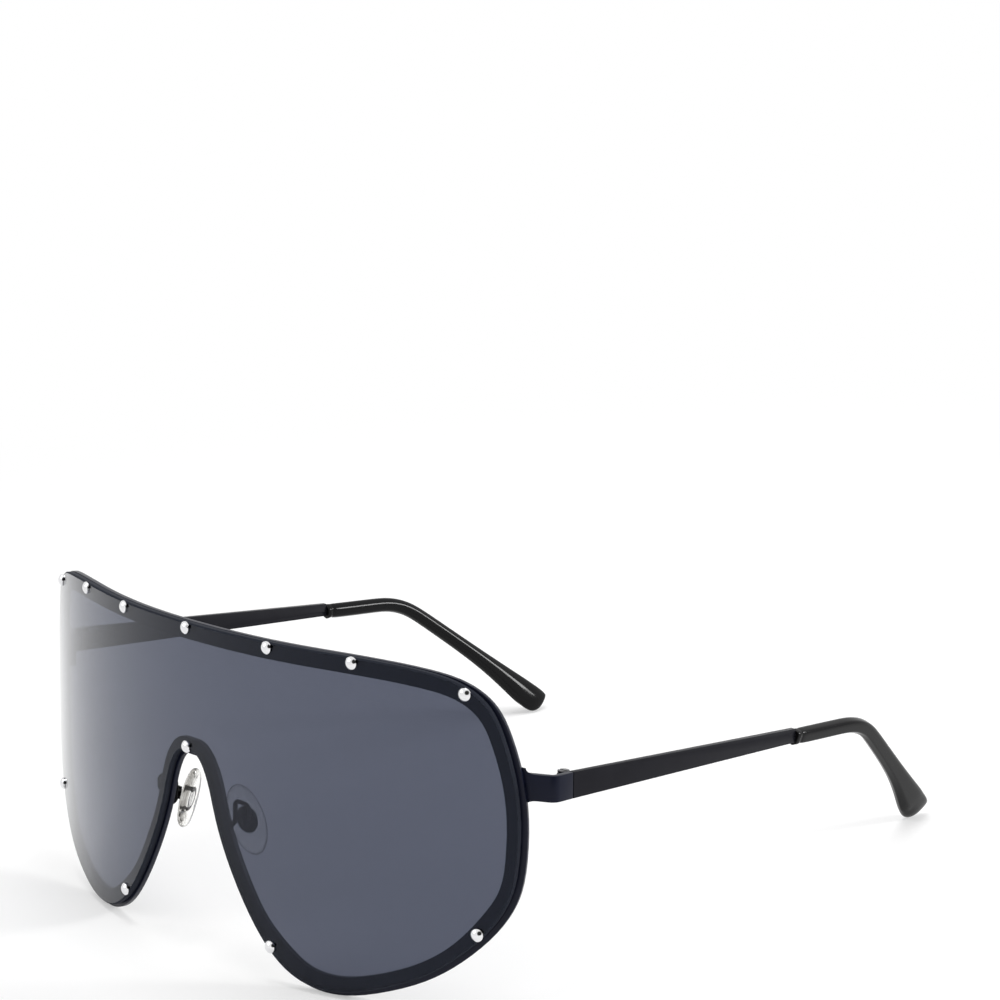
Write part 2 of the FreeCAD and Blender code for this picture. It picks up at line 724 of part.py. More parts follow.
# Pieces of the right side, and their mirror images
PAIRS = (end_piece, hinge_front, hinge_screw, pad_arm, pad_box, pad_screw,
         temple, hinge_rear, temple_tip, nose_pad, pad_insert)
SINGLES = (shield_lens, rim_frame, lens_studs)


def build():
    """All pieces by name, as they stand on the table, and the place that stands them there."""
    pieces = {make.__name__: make() for make in SINGLES}
    for make in PAIRS:
        shape = make()
        pieces[make.__name__ + "_right"] = shape
        pieces[make.__name__ + "_left"] = mirrored(shape)
    stand = standing(pieces["rim_frame"], pieces["temple_tip_right"], pieces["lens_studs"])
    return {name: placed(shape, stand) for name, shape in pieces.items()}, stand


def main():
    """Write each piece to its own file."""
    os.makedirs("parts", exist_ok=True)
    pieces, stand = build()
    for name, shape in pieces.items():
        shape.exportStep("parts/" + name + ".step")
        print(name, len(shape.Solids), "solids", round(shape.Volume, 2), "mm3", shape.isValid())
    print("stands at", stand)


main()
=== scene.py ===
"""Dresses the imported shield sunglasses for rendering: meshes, finishes, studio and camera."""
import json
import logging
import math
from dataclasses import dataclass, field, replace
from enum import Enum
from functools import cached_property
from typing import Any, Callable, Iterable, Optional, Sequence, Union

import bmesh
import bpy
import numpy as np
from bmesh.types import BMesh
from bpy.types import Material, Mesh, NodeSocket, NodeTree, Object
from mathutils import Matrix, Vector


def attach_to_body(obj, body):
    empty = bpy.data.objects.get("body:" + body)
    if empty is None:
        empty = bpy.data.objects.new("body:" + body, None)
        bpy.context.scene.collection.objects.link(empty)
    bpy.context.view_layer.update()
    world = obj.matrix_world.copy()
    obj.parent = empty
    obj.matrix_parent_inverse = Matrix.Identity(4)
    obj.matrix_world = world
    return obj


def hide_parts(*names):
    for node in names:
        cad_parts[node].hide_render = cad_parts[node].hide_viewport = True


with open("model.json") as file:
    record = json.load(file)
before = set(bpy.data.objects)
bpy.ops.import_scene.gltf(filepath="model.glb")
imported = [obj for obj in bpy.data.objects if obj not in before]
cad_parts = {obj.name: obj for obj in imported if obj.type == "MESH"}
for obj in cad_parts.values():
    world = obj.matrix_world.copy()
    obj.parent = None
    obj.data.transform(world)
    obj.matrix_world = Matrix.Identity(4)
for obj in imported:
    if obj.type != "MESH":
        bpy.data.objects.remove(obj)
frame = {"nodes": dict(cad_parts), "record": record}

log = logging.getLogger("sunglasses")

MM = 0.001
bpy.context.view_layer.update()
ACROSS = Vector((1.0, 0.0, 0.0))
# Points nearer than this are one point
MERGE = 1e-6
# Faces of a copy that differ by less than this are joined
SAME_PLANE_DEG = 0.5
# Edges sharper than this are broken, with this many faces across a round profile
BREAK_DEG = 60.0
BREAK_FACES = 2
ROUND_PROFILE = 0.5
# Edges up to this angle are shaded smooth, as a rule, and all edges up to the next one
SMOOTH_DEG = 35.0
ALL_SMOOTH_DEG = 180.0
# Softened copies: subdivisions, and the share of the loss that the points are moved out by
SOFT_LEVELS = 2
REFIT_SHARE = 0.6
# Attributes: how far a point of a pad faces sideways, which places the painted shade along a pad's
# edges, and where a rivet's head faces
EDGE_SHARE = "edge_share"
STUD_AXIS = "axis"


class Side(Enum):
    """The two sides of the pair, as seen from the front: right is +X."""

    RIGHT = 1
    LEFT = -1

    @property
    def tag(self) -> str:
        """Ending of the names of this side's pieces."""
        return self.name.lower()


class Edge(Enum):
    """How the edges of a dressed copy are finished."""

    BROKEN = "broken"
    ROUND = "round"


# Shader sockets and materials

Number = Union[float, "Socket"]
Colour = tuple[float, float, float]


class Socket:
    """A value in a shader tree, which can be used in sums."""

    def __init__(self, tree: "ShaderTree", socket: NodeSocket) -> None:
        """Wraps an output socket of a shader tree."""
        self.tree = tree
        self.socket = socket

    def _sum(self, operation: str, first: Number, second: Number) -> "Socket":
        """Result of a Math node on two values."""
        return self.tree.node("ShaderNodeMath", {"operation": operation}, {0: first, 1: second})

    def __add__(self, other: Number) -> "Socket":
        """This plus another."""
        return self._sum("ADD", self, other)

    __radd__ = __add__

    def __mul__(self, other: Number) -> "Socket":
        """This times another."""
        return self._sum("MULTIPLY", self, other)

    __rmul__ = __mul__

    def __or__(self, other: "Socket") -> "Socket":
        """The greater of the two."""
        return self._sum("MAXIMUM", self, other)

    def rising(self, low: float, high: float) -> "Socket":
        """Smooth step of this value.

        Args:
            low: value up to which the step is zero.
            high: value from which it is one.

        Returns:
            The step.
        """
        settings = {"interpolation_type": "SMOOTHSTEP"}
        values = {"Value": self, "From Min": low, "From Max": high}
        return self.tree.node("ShaderNodeMapRange", settings, values, "Result")


class ShaderTree:
    """The node tree of a material or of the world."""

    def __init__(self, tree: NodeTree) -> None:
        """Wraps a node tree."""
        self.tree = tree

    def node(self, kind: str, settings: dict[str, Any], values: dict[Any, Any],
             output: Union[int, str] = 0) -> Socket:
        """Adds a node.

        Args:
            kind: the node's type.
            settings: its own settings; a ramp's two stops are (place, colour) pairs.
            values: numbers or sockets for its inputs, by name or index.
            output: the output to use.

        Returns:
            The chosen output.
        """
        node = self.tree.nodes.new(kind)
        for name, setting in settings.items():
            if name == "stops":
                for element, (place, colour) in zip(node.color_ramp.elements, setting):
                    element.position, element.color = place, (*colour, 1.0)
            else:
                setattr(node, name, setting)
        for name, value in values.items():
            self.feed(node.inputs[name], value)
        return Socket(self, node.outputs[output])

    def feed(self, target: NodeSocket, value: Any) -> None:
        """Links a socket to an input, or sets the input to a plain value.

        Args:
            target: the input.
            value: a socket, a number or a colour.
        """
        if isinstance(value, Socket):
            self.tree.links.new(value.socket, target)
        elif isinstance(value, (tuple, list)) and target.type == "RGBA":
            target.default_value = (*value, 1.0)
        else:
            target.default_value = value

    def place(self, kind: str = "Object") -> Socket:
        """Texture coordinates, as a rule those of the object in metres."""
        return self.node("ShaderNodeTexCoord", {}, {}, kind)

    def ray(self, kind: str) -> Socket:
        """One for rays of a kind, and zero for others."""
        return self.node("ShaderNodeLightPath", {}, {}, f"Is {kind} Ray")

    def seen(self) -> Socket:
        """One where a surface is seen directly, in a mirror or through glass."""
        return self.ray("Camera") | self.ray("Glossy") | self.ray("Transmission")

    def mixed(self, factor: Socket, first: Socket, second: Socket) -> Socket:
        """Mix of two shaders, by the share of the second."""
        return self.node("ShaderNodeMixShader", {}, {"Fac": factor, 1: first, 2: second}, "Shader")

    def finish(self, kind: str, surface: Socket) -> None:
        """Links a shader to the surface of the output node of that name."""
        self.feed(self.tree.nodes[kind].inputs["Surface"], surface)


class Paint(ShaderTree):
    """A material under construction, with its Principled shader."""

    GRAIN_DETAIL = 2.0
    GRAIN_DEPTH = 0.01 * MM

    def __init__(self, name: str) -> None:
        """Starts a material.

        Args:
            name: the material's name.
        """
        self.material = bpy.data.materials.new(name)
        self.material.use_nodes = True
        super().__init__(self.material.node_tree)
        self.shader = self.tree.nodes["Principled BSDF"]

    def set(self, **inputs: Any) -> None:
        """Sets inputs of the shader, named in lower case with underscores.

        Args:
            inputs: values or sockets by input name.
        """
        by_name = {socket.name.lower().replace(" ", "_"): socket for socket in self.shader.inputs}
        for name, value in inputs.items():
            self.feed(by_name[name], value)

    def noise(self, scale: float, detail: float) -> Socket:
        """Soft noise from zero to one, by its waves in a metre and its number of finer layers."""
        values = {"Vector": self.place(), "Scale": scale, "Detail": detail}
        return self.node("ShaderNodeTexNoise", {}, values, "Fac")

    def blend(self, factor: Socket, low: Colour, high: Colour) -> Socket:
        """Colour between two others, by the share of the second."""
        stops = [(0.0, low), (1.0, high)]
        return self.node("ShaderNodeValToRGB", {"stops": stops}, {"Fac": factor}, "Color")

    def grain(self, scale: float, strength: float) -> None:
        """Adds a fine bump to the shader.

        Args:
            scale: waves in a metre.
            strength: how strongly it turns the surface.
        """
        height = self.noise(scale, self.GRAIN_DETAIL)
        values = {"Height": height, "Distance": self.GRAIN_DEPTH, "Strength": strength}
        self.set(normal=self.node("ShaderNodeBump", {}, values, "Normal"))


@dataclass(frozen=True)
class TintedLens:
    """Polished tinted sheet, with faint traces of wiping."""

    name: str = "lens_tint"
    tint: Colour = (0.083, 0.0915, 0.124)
    wiped: Colour = (0.089, 0.0975, 0.131)
    sheen: Colour = (0.58, 0.68, 1.0)
    ior: float = 1.32
    coat_ior: float = 1.12
    coat_roughness: float = 0.02
    roughness: float = 0.01
    roughness_spread: float = 0.015
    wipe_scale: float = 35.0
    wipe_detail: float = 3.0

    def material(self) -> Material:
        """Builds the finish.

        Returns:
            The material.
        """
        paint = Paint(self.name)
        wipe = paint.noise(self.wipe_scale, self.wipe_detail)
        paint.set(base_color=paint.blend(wipe, self.tint, self.wiped), transmission_weight=1.0,
                  ior=self.ior, specular_tint=self.sheen, coat_weight=1.0,
                  coat_ior=self.coat_ior, coat_roughness=self.coat_roughness,
                  roughness=self.roughness + wipe * self.roughness_spread)
        return paint.material


@dataclass(frozen=True)
class Enamel:
    """Satin enamel on metal, a little uneven."""

    name: str
    colour: Colour
    bright: Colour
    roughness: float = 0.36
    ior: float = 1.28
    gloss: float = 0.5
    roughness_spread: float = 0.12
    cloud_scale: float = 260.0
    cloud_detail: float = 4.0
    grain_scale: float = 2600.0
    grain_strength: float = 0.05

    def material(self) -> Material:
        """Builds the finish.

        Returns:
            The material.
        """
        paint = Paint(self.name)
        cloud = paint.noise(self.cloud_scale, self.cloud_detail)
        least = self.roughness - self.roughness_spread / 2
        paint.set(base_color=paint.blend(cloud, self.colour, self.bright), ior=self.ior,
                  specular_ior_level=self.gloss,
                  roughness=least + cloud * self.roughness_spread)
        paint.grain(self.grain_scale, self.grain_strength)
        return paint.material


@dataclass(frozen=True)
class Plating:
    """Plated metal, polished or dark."""

    name: str
    colour: Colour
    worn: Colour
    roughness: float
    # Least roughness and its spread, as shares of the roughness
    least_share: float = 0.7
    spread_share: float = 0.6
    haze_scale: float = 900.0
    haze_detail: float = 3.0

    def material(self) -> Material:
        """Builds the finish.

        Returns:
            The material.
        """
        paint = Paint(self.name)
        haze = paint.noise(self.haze_scale, self.haze_detail)
        least = self.roughness * self.least_share
        paint.set(base_color=paint.blend(haze, self.colour, self.worn), metallic=1.0,
                  roughness=least + haze * (self.roughness * self.spread_share))
        return paint.material


@dataclass(frozen=True)
class Moulding:
    """Glossy moulded plastic with a faint flow in its surface."""

    name: str = "tip_black"
    colour: Colour = (0.003, 0.003, 0.0035)
    flow: Colour = (0.006, 0.006, 0.0065)
    roughness: float = 0.09
    roughness_spread: float = 0.06
    ior: float = 1.22
    flow_scale: float = 120.0
    flow_detail: float = 2.0
    grain_scale: float = 500.0
    grain_strength: float = 0.06

    def material(self) -> Material:
        """Builds the finish.

        Returns:
            The material.
        """
        paint = Paint(self.name)
        flow = paint.noise(self.flow_scale, self.flow_detail)
        paint.set(base_color=paint.blend(flow, self.colour, self.flow), ior=self.ior,
                  roughness=self.roughness + flow * self.roughness_spread)
        paint.grain(self.grain_scale, self.grain_strength)
        return paint.material


@dataclass(frozen=True)
class ClearSilicone:
    """Clear soft pads, faintly yellow and hazy, with a painted shade along their edges, where the
    clear pads look darker through their thickness.
    """

    name: str = "pad_clear"
    colour: Colour = (0.985, 0.98, 0.95)
    # Colour of the painted shade along the edges
    shade: Colour = (0.3, 0.29, 0.27)
    roughness: float = 0.06
    roughness_spread: float = 0.05
    ior: float = 1.28
    haze_scale: float = 400.0
    haze_detail: float = 3.0
    # Where the painted edge shade starts and is full, and its least strength and spread
    edge_reach: tuple[float, float] = (0.35, 0.75)
    edge_least: float = 0.7
    edge_spread: float = 0.6

    def material(self) -> Material:
        """Builds the finish.

        Returns:
            The material.
        """
        paint = Paint(self.name)
        haze = paint.noise(self.haze_scale, self.haze_detail)
        # Painted shade: the base colour turns darker where the pad faces sideways, standing in for
        # the darker look through its clear edges
        rim = paint.node("ShaderNodeAttribute", {"attribute_name": EDGE_SHARE}, {}, "Fac")
        strength = self.edge_least + haze * self.edge_spread
        dark = rim.rising(*self.edge_reach) * strength
        paint.set(base_color=paint.blend(dark, self.colour, self.shade), ior=self.ior,
                  transmission_weight=1.0, roughness=self.roughness + haze * self.roughness_spread)
        return paint.material


@dataclass(frozen=True)
class Finishes:
    """Every finish of the glasses, made once."""

    lens: Material
    lens_edge: Material
    rim: Material
    end: Material
    temple: Material
    hinge: Material
    tip: Material
    chrome: Material
    screw: Material
    pad: Material
    pad_metal: Material

    @classmethod
    def made(cls) -> "Finishes":
        """Builds all the materials.

        Returns:
            The finishes.
        """
        navy = Enamel("rim_black", (0.003, 0.004, 0.012), (0.006, 0.008, 0.021))
        recipes = {
            "lens": TintedLens(),
            "lens_edge": Enamel("lens_edge", (0.018, 0.0205, 0.028), (0.027, 0.03, 0.04),
                                roughness=0.45, ior=1.2, gloss=0.05),
            "rim": navy,
            "end": replace(navy, name="end_black", ior=1.23),
            "temple": Enamel("temple_black", (0.006, 0.006, 0.009), (0.01, 0.01, 0.014), ior=1.21),
            "hinge": Enamel("hinge_black", (0.005, 0.005, 0.006), (0.009, 0.009, 0.01),
                            roughness=0.3),
            "tip": Moulding(),
            "chrome": Plating("chrome", (0.84, 0.84, 0.85), (0.74, 0.74, 0.76), roughness=0.07),
            "screw": Plating("screw_steel", (0.1, 0.1, 0.105), (0.06, 0.06, 0.065),
                             roughness=0.25),
            "pad": ClearSilicone(),
            "pad_metal": Enamel("pad_metal", (0.004, 0.004, 0.0045), (0.008, 0.008, 0.009),
                                roughness=0.35, ior=1.2, gloss=0.25),
        }
        return cls(**{part: recipe.material() for part, recipe in recipes.items()})


# Geometry node trees

class Tree:
    """A geometry node tree under construction."""

    def __init__(self, name: str) -> None:
        """Starts a tree with a mesh in and a mesh out.

        Args:
            name: the tree's name.
        """
        self.group = bpy.data.node_groups.new(name, "GeometryNodeTree")
        self.keys: dict[str, str] = {}
        self.add_input("Mesh", "NodeSocketGeometry", None)
        self.group.interface.new_socket(name="Mesh", in_out="OUTPUT",
                                        socket_type="NodeSocketGeometry")
        self.source = self.group.nodes.new("NodeGroupInput")
        self.sink = self.group.nodes.new("NodeGroupOutput")

    def add_input(self, name: str, kind: str, value: Any) -> None:
        """Adds a named input.

        Args:
            name: its name.
            kind: its socket type.
            value: its default value, if it has one.
        """
        socket = self.group.interface.new_socket(name=name, in_out="INPUT", socket_type=kind)
        if value is not None:
            socket.default_value = value
        self.keys[name] = socket.identifier

    def given(self, name: str) -> NodeSocket:
        """Output of the tree's input of that name."""
        return self.source.outputs[name]

    def node(self, kind: str, settings: dict[str, Any], values: dict[Any, Any],
             output: Union[int, str] = 0) -> NodeSocket:
        """Adds a node.

        Args:
            kind: the node's type.
            settings: its own settings.
            values: values or sockets for its inputs, by name or index.
            output: the output to use.

        Returns:
            The chosen output.
        """
        node = self.group.nodes.new(kind)
        for name, setting in settings.items():
            setattr(node, name, setting)
        for name, value in values.items():
            if isinstance(value, NodeSocket):
                self.group.links.new(value, node.inputs[name])
            else:
                node.inputs[name].default_value = value
        return node.outputs[output]

    def math(self, operation: str, *values: Any) -> NodeSocket:
        """Result of a Math node."""
        return self.node("ShaderNodeMath", {"operation": operation}, dict(enumerate(values)))

    def scaled(self, vector: Any, factor: Any) -> NodeSocket:
        """Vector times a number."""
        values = {"Vector": vector, "Scale": factor}
        return self.node("ShaderNodeVectorMath", {"operation": "SCALE"}, values)

    def summed(self, first: Any, second: Any) -> NodeSocket:
        """Sum of two vectors."""
        return self.node("ShaderNodeVectorMath", {"operation": "ADD"}, {0: first, 1: second})

    def end(self, geometry: NodeSocket, material: Optional[Material]) -> None:
        """Finishes the tree.

        Args:
            geometry: what the tree makes.
            material: the finish of all of it, or None to keep the mesh's own.
        """
        real = self.node("GeometryNodeRealizeInstances", {}, {"Geometry": geometry})
        if material is not None:
            values = {"Geometry": real, "Material": material}
            real = self.node("GeometryNodeSetMaterial", {}, values)
        self.group.links.new(real, self.sink.inputs["Mesh"])

    def run(self, mesh: Mesh, name: str, values: dict[str, Any]) -> Object:
        """Runs the tree on a mesh and keeps the result as a plain mesh.

        Args:
            mesh: what goes in.
            name: name of the new piece.
            values: values of the named inputs.

        Returns:
            The new piece.
        """
        holder = bpy.data.objects.new(name + "_source", mesh)
        bpy.context.scene.collection.objects.link(holder)
        modifier = holder.modifiers.new(self.group.name, "NODES")
        modifier.node_group = self.group
        for key, value in values.items():
            modifier[self.keys[key]] = value
        graph = bpy.context.evaluated_depsgraph_get()
        made = bpy.data.meshes.new_from_object(holder.evaluated_get(graph))
        holder.modifiers.remove(modifier)
        bpy.data.objects.remove(holder)
        made.name = name
        return new_piece(name, made)


# Meshes

def new_piece(name: str, mesh: Mesh) -> Object:
    """Puts a mesh into the scene at the origin.

    Args:
        name: the piece's name.
        mesh: its mesh.

    Returns:
        The new object.
    """
    piece = bpy.data.objects.new(name, mesh)
    bpy.context.scene.collection.objects.link(piece)
    return piece


def merged_copy(node: str) -> BMesh:
    """Copy of a CAD node with its loose triangles joined up.

    Args:
        node: the node's name.

    Returns:
        The joined mesh.
    """
    shell = bmesh.new()
    shell.from_mesh(frame["nodes"][node].data)
    bmesh.ops.remove_doubles(shell, verts=shell.verts, dist=MERGE)
    return shell


def as_mesh(shell: BMesh, name: str, smooth_deg: float = SMOOTH_DEG) -> Mesh:
    """Turns an edited mesh into data, smooth but for its sharp edges.

    Args:
        shell: the edited mesh, which is used up.
        name: name of the data.
        smooth_deg: angle above which an edge stays sharp.

    Returns:
        The mesh data.
    """
    mesh = bpy.data.meshes.new(name)
    shell.to_mesh(mesh)
    shell.free()
    if "custom_normal" in mesh.attributes:
        mesh.attributes.remove(mesh.attributes["custom_normal"])
    mesh.shade_smooth()
    mesh.set_sharp_from_angle(angle=math.radians(smooth_deg))
    return mesh


def lathe(profile: Sequence[tuple[float, float]], sides: int) -> BMesh:
    """Closed round form about Z.

    Args:
        profile: radius and height of each row from the top down, with no radius at the ends.
        sides: faces round the form.

    Returns:
        The mesh.
    """
    shell = bmesh.new()
    rows = []
    for radius, height in profile:
        count = sides if radius > 0 else 1
        turns = [2 * math.pi * step / count for step in range(count)]
        rows.append([shell.verts.new((radius * math.cos(turn), radius * math.sin(turn), height))
                     for turn in turns])
    for upper, lower in zip(rows, rows[1:]):
        for step in range(sides):
            after = step + 1
            corners = (upper[step % len(upper)], lower[step % len(lower)],
                       lower[after % len(lower)], upper[after % len(upper)])
            shell.faces.new(dict.fromkeys(corners))
    return shell


def flattened(shell: BMesh, angle_deg: float) -> None:
    """Joins the faces of a mesh that differ by less than an angle."""
    bmesh.ops.dissolve_limit(shell, angle_limit=math.radians(angle_deg), verts=shell.verts,
                             edges=shell.edges)


def broken(shell: BMesh, width: float, shortest: float = 0.0) -> None:
    """Breaks the sharp edges of a mesh with a small rounding.

    Args:
        shell: the mesh to change.
        width: width of the rounding.
        shortest: edges up to this length are left alone.
    """
    sharp = [edge for edge in shell.edges
             if len(edge.link_faces) == 2 and edge.calc_length() > shortest
             and edge.calc_face_angle() > math.radians(BREAK_DEG)]
    bmesh.ops.bevel(shell, geom=sharp, offset=width, segments=BREAK_FACES, profile=ROUND_PROFILE,
                    affect="EDGES", clamp_overlap=True, offset_type="OFFSET")
    bmesh.ops.dissolve_degenerate(shell, dist=MERGE, edges=shell.edges)


def attach(piece: Object, body: str, slot: str, *nodes: str) -> None:
    """Puts a finished piece on the empty of its body and hides the CAD nodes that it stands for.

    Args:
        piece: the piece.
        body: the body that it moves with.
        slot: the record's slot for its finish; not used.
        nodes: the CAD nodes that it stands for.
    """
    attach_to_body(piece, body)
    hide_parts(*nodes)
    log.info("%s rides on %s", piece.name, body)


def refit(piece: Object) -> None:
    """Moves the points of a softened piece out, so that it keeps about its CAD volume.

    Args:
        piece: the piece, with its modifier.
    """
    soft = piece.evaluated_get(bpy.context.evaluated_depsgraph_get()).data.vertices
    drawn = [vertex.co - soft[vertex.index].co for vertex in piece.data.vertices]
    for vertex, shift in zip(piece.data.vertices, drawn):
        vertex.co += shift * REFIT_SHARE


def dressed(node: str, material: Material, edge: Edge, width: float = 0.0) -> Object:
    """Refined copy of a CAD node.

    Args:
        node: the node's name.
        material: its finish.
        edge: how its edges are finished.
        width: width of the broken edges.

    Returns:
        The new piece.
    """
    shell = merged_copy(node)
    flattened(shell, SAME_PLANE_DEG)
    if edge is Edge.BROKEN:
        broken(shell, width)
    piece = new_piece(node + "_fine", as_mesh(shell, node + "_fine"))
    piece.data.materials.append(material)
    if edge is Edge.ROUND:
        soften = piece.modifiers.new("soften", "SUBSURF")
        soften.levels = soften.render_levels = SOFT_LEVELS
        refit(piece)
    return piece


# The bent front

def joint(name: str) -> dict[str, Any]:
    """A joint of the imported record, by name."""
    return next(one for one in frame["record"]["behaviour"]["joints"] if one["name"] == name)


@dataclass
class Standing:
    """How the pair is tilted to stand: its upright and backward directions."""

    up: Vector = field(
        default_factory=lambda: Vector(joint("temple_right_fold")["axis"]).normalized())

    @property
    def back(self) -> Vector:
        """Direction from the lens to the wearer."""
        return self.up.cross(ACROSS)


@dataclass
class Front:
    """Lens, rim and rivets, which share one bent form."""

    finishes: Finishes
    stand: Standing
    lens_radius: float = 147.0 * MM
    lens_thick: float = 1.4 * MM
    seat_gap: float = 0.03 * MM
    rim_thick: float = 1.0 * MM
    # Width of the strips that a flat sheet is cut into, so that it bends smoothly
    strip: float = 2.5 * MM
    edge_width: float = 0.22 * MM
    same_plane_deg: float = 1.0
    smooth_deg: float = 30.0
    # Cosines from which a face counts as the front or back of the flat or the bent sheet
    flat_facing: float = 0.99
    bent_facing: float = 0.995
    stud_radius: float = 1.25 * MM
    stud_slope_deg: float = 52.0
    stud_skirt: float = 0.35 * MM
    stud_shank: float = 0.6 * MM
    stud_tail: float = 0.25 * MM
    # Shares of the skirt and the head's radius where the head meets the lens
    foot_height: float = 0.15
    foot_radius: float = 0.96
    # Shares of the shank's radius and the tail's length at the shoulder of the tail
    shoulder_radius: float = 0.7
    shoulder_length: float = 0.75
    stud_rows: int = 8
    stud_sides: int = 32

    @cached_property
    def centre(self) -> float:
        """Distance along the backward direction to the middle of the bend."""
        vertices = frame["nodes"]["shield_lens"].data.vertices
        return min(vertex.co.dot(self.stand.back) for vertex in vertices) + self.lens_radius

    def unrolled(self, node: str, radius: float) -> BMesh:
        """Flat copy of a bent sheet: X runs round the bend, Y is depth and Z is up the sheet.

        Args:
            node: the CAD node.
            radius: radius of the sheet's front.

        Returns:
            The flat sheet, its flat faces joined and its edges broken.
        """
        shell = merged_copy(node)
        for vertex in shell.verts:
            inside = self.centre - vertex.co.dot(self.stand.back)
            turn = math.atan2(vertex.co.x, inside)
            depth = radius - math.hypot(vertex.co.x, inside)
            vertex.co = Vector((turn * radius, depth, vertex.co.dot(self.stand.up)))
        flattened(shell, self.same_plane_deg)
        broken(shell, self.edge_width, 2 * self.edge_width)
        return shell

    def wrap_tree(self) -> Tree:
        """Tree that bends a flat sheet round the front and tilts it.

        Returns:
            The tree.
        """
        tree = Tree("wrap")
        tree.add_input("Radius", "NodeSocketFloat", self.lens_radius)
        tree.add_input("Centre", "NodeSocketFloat", 0.0)
        tree.add_input("Up", "NodeSocketVector", (0.0, 0.0, 1.0))
        tree.add_input("Back", "NodeSocketVector", (0.0, 1.0, 0.0))
        place = tree.node("GeometryNodeInputPosition", {}, {})
        split = tree.node("ShaderNodeSeparateXYZ", {}, {"Vector": place}).node
        turn = tree.math("DIVIDE", split.outputs["X"], tree.given("Radius"))
        radius = tree.math("SUBTRACT", tree.given("Radius"), split.outputs["Y"])
        side = tree.math("MULTIPLY", radius, tree.math("SINE", turn))
        inside = tree.math("MULTIPLY", radius, tree.math("COSINE", turn))
        back = tree.scaled(tree.given("Back"), tree.math("SUBTRACT", tree.given("Centre"), inside))
        across = tree.node("ShaderNodeCombineXYZ", {}, {"X": side})
        upright = tree.scaled(tree.given("Up"), split.outputs["Z"])
        bent = tree.summed(tree.summed(across, back), upright)
        values = {"Geometry": tree.given("Mesh"), "Position": bent}
        tree.end(tree.node("GeometryNodeSetPosition", {}, values), None)
        return tree

    def sheet(self, node: str, radius: float, materials: Sequence[Material]) -> Object:
        """Refined copy of a bent sheet.

        Args:
            node: the CAD node.
            radius: radius of the sheet's front.
            materials: finish of the faces and, where there is a second, of the edges.

        Returns:
            The new piece.
        """
        shell = self.unrolled(node, radius)
        reach = max(abs(vertex.co.x) for vertex in shell.verts)
        cuts = int(reach / self.strip)
        for step in range(-cuts, cuts + 1):
            geometry = shell.verts[:] + shell.edges[:] + shell.faces[:]
            bmesh.ops.bisect_plane(shell, geom=geometry, plane_co=(step * self.strip, 0, 0),
                                   plane_no=(1, 0, 0), dist=MERGE)
        shell.normal_update()
        for face in shell.faces:
            on_edge = abs(face.normal.y) < self.flat_facing
            face.material_index = int(len(materials) > 1 and on_edge)
        flat = as_mesh(shell, node + "_flat", self.smooth_deg)
        for material in materials:
            flat.materials.append(material)
        values = {"Radius": radius, "Centre": self.centre, "Up": self.stand.up[:],
                  "Back": self.stand.back[:]}
        piece = self.wrap_tree().run(flat, node + "_fine", values)
        self.smooth_bend(piece.data)
        return piece

    def outwards(self, point: Vector) -> Vector:
        """Direction straight out from the middle of the bend at a point."""
        upright = self.stand.up * point.dot(self.stand.up)
        return (point - upright - self.stand.back * self.centre).normalized()

    def smooth_bend(self, mesh: Mesh) -> None:
        """Gives the faces of a bent sheet the exact normals of the bend.

        Args:
            mesh: the bent sheet.
        """
        outs = [self.outwards(vertex.co) for vertex in mesh.vertices]
        normals = [Vector(corner.vector) for corner in mesh.corner_normals]
        for face in mesh.polygons:
            for corner in face.loop_indices:
                out = outs[mesh.loops[corner].vertex_index]
                facing = face.normal.dot(out)
                if abs(facing) > self.bent_facing:
                    normals[corner] = out * math.copysign(1.0, facing)
        mesh.normals_split_custom_set(normals)

    def stud_points(self) -> Mesh:
        """A point at the seat of each rivet, with the direction that its head faces.

        Returns:
            The points.
        """
        shell = merged_copy("lens_studs")
        unseen = set(shell.verts)
        middles = []
        while unseen:
            group, front = set(), {unseen.pop()}
            while front:
                vertex = front.pop()
                group.add(vertex)
                front |= {edge.other_vert(vertex) for edge in vertex.link_edges} - group
            unseen -= group
            middles.append(sum((vertex.co for vertex in group), Vector()) / len(group))
        shell.free()
        axle = self.stand.back * self.centre
        reach = self.lens_radius + self.seat_gap
        outs = [self.outwards(middle) for middle in middles]
        seats = [axle + self.stand.up * middle.dot(self.stand.up) + out * reach
                 for middle, out in zip(middles, outs)]
        mesh = bpy.data.meshes.new("stud_points")
        mesh.from_pydata(seats, [], [])
        axis = mesh.attributes.new(STUD_AXIS, "FLOAT_VECTOR", "POINT")
        for entry, out in zip(axis.data, outs):
            entry.vector = out
        return mesh

    def rivet(self) -> Object:
        """One rivet along Z from its seat: a low dome on a skirt, a shank and a rounded tail.

        Returns:
            The rivet, which is used as a pattern and then removed.
        """
        slope = math.radians(self.stud_slope_deg)
        ball = self.stud_radius / math.sin(slope)
        depth = self.lens_thick + self.rim_thick + 2 * self.seat_gap
        profile = []
        for step in range(self.stud_rows + 1):
            turn = slope * step / self.stud_rows
            rise = self.stud_skirt + ball * (math.cos(turn) - math.cos(slope))
            profile.append((ball * math.sin(turn), rise))
        profile += [(self.stud_radius, self.foot_height * self.stud_skirt),
                    (self.foot_radius * self.stud_radius, 0.0),
                    (self.stud_shank, 0.0), (self.stud_shank, -depth),
                    (self.shoulder_radius * self.stud_shank,
                     -depth - self.shoulder_length * self.stud_tail),
                    (0.0, -depth - self.stud_tail)]
        mesh = as_mesh(lathe(profile, self.stud_sides), "rivet_source", self.smooth_deg)
        mesh.materials.append(self.finishes.chrome)
        return new_piece("rivet_source", mesh)

